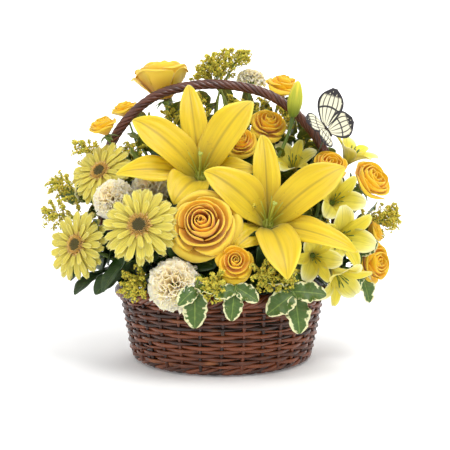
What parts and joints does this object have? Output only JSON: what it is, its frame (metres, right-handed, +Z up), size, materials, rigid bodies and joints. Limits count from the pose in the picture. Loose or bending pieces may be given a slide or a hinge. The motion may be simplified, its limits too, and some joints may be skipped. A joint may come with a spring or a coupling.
{
  "type": "flower basket arrangement",
  "caption": "Round stained willow basket with a twisted arch handle, filled with yellow lilies, roses, gerberas, cream carnations and goldenrod in floral foam, with a butterfly pick.",
  "frame": {"origin": "the middle of the basket's flat underside, on the surface that it stands on", "axes": "+Z up; the front of the arrangement looks along -Y; +X to the right, in the plane of the arch handle"},
  "size_m": [0.3961, 0.2942, 0.3478],
  "materials": {
    "willow": "stained brown willow rods with a thin satin varnish, darker between the rods",
    "liner_plastic": "thin dark green waterproof liner, matt",
    "floral_foam": "wet green floral foam, open pores, fully matt",
    "stem_green": "fresh green stems, smooth and faintly waxy",
    "lily_petal": "satin lily petals, clear yellow, greenish at the throat, with a groove along the middle",
    "rose_petal": "velvety rose petals, orange yellow in the heart and paler at the lips",
    "spray_rose_petal": "velvety spray rose petals, deep golden yellow",
    "gerbera_ray": "satin gerbera rays, pale greenish yellow, round a tan and brown disc",
    "carnation_petal": "soft ruffled carnation petals, cream with a peach heart",
    "alstroemeria_petal": "satin alstroemeria petals, pale yellow with fine brown dashes",
    "goldenrod_floret": "tiny matt olive yellow florets on green twigs",
    "pittosporum_leaf": "leathery wavy leaves, green with an uneven cream margin",
    "salal_leaf": "leathery dark green leaves with a low gloss",
    "butterfly_wing": "cream paper wings with dark borders and veins"
  },
  "bodies": {
    "root": {"basket_wall": "willow", "basket_rim": "willow", "basket_base": "willow", "basket_handle": "willow", "liner": "liner_plastic", "floral_foam": "floral_foam", "lily_upper": "lily_petal", "lily_upper_stem": "stem_green", "lily_front": "lily_petal", "lily_front_stem": "stem_green", "lily_back": "lily_petal", "lily_back_stem": "stem_green", "lily_bud": "lily_petal", "rose_front": "rose_petal", "rose_front_stem": "stem_green", "rose_top": "rose_petal", "rose_top_stem": "stem_green", "rose_back": "rose_petal", "rose_back_stem": "stem_green", "gerbera_front": "gerbera_ray", "gerbera_front_stem": "stem_green", "gerbera_low": "gerbera_ray", "gerbera_low_stem": "stem_green", "gerbera_left": "gerbera_ray", "gerbera_left_stem": "stem_green", "gerbera_back": "gerbera_ray", "gerbera_back_stem": "stem_green", "carnation_front": "carnation_petal", "carnation_left": "carnation_petal", "carnation_middle": "carnation_petal", "carnation_top": "carnation_petal", "carnation_back": "carnation_petal", "spray_rose_front": "spray_rose_petal", "spray_rose_left": "spray_rose_petal", "spray_rose_top": "spray_rose_petal", "spray_rose_middle": "spray_rose_petal", "spray_rose_right": "spray_rose_petal", "spray_rose_low": "spray_rose_petal", "spray_rose_back": "spray_rose_petal", "alstroemeria_upper": "alstroemeria_petal", "alstroemeria_middle": "alstroemeria_petal", "alstroemeria_low": "alstroemeria_petal", "butterfly_pick": "butterfly_wing", "pittosporum_front_left": "pittosporum_leaf", "pittosporum_front": "pittosporum_leaf", "pittosporum_right": "pittosporum_leaf", "pittosporum_far_right": "pittosporum_leaf", "pittosporum_back": "pittosporum_leaf", "salal_left": "salal_leaf", "salal_front_left": "salal_leaf", "goldenrod_top": "goldenrod_floret", "goldenrod_upper_left": "goldenrod_floret", "goldenrod_left": "goldenrod_floret", "goldenrod_middle": "goldenrod_floret", "goldenrod_front": "goldenrod_floret", "goldenrod_front_left": "goldenrod_floret", "goldenrod_right": "goldenrod_floret", "goldenrod_back": "goldenrod_floret", "goldenrod_front_middle": "goldenrod_floret"}
  },
  "joints": []
}
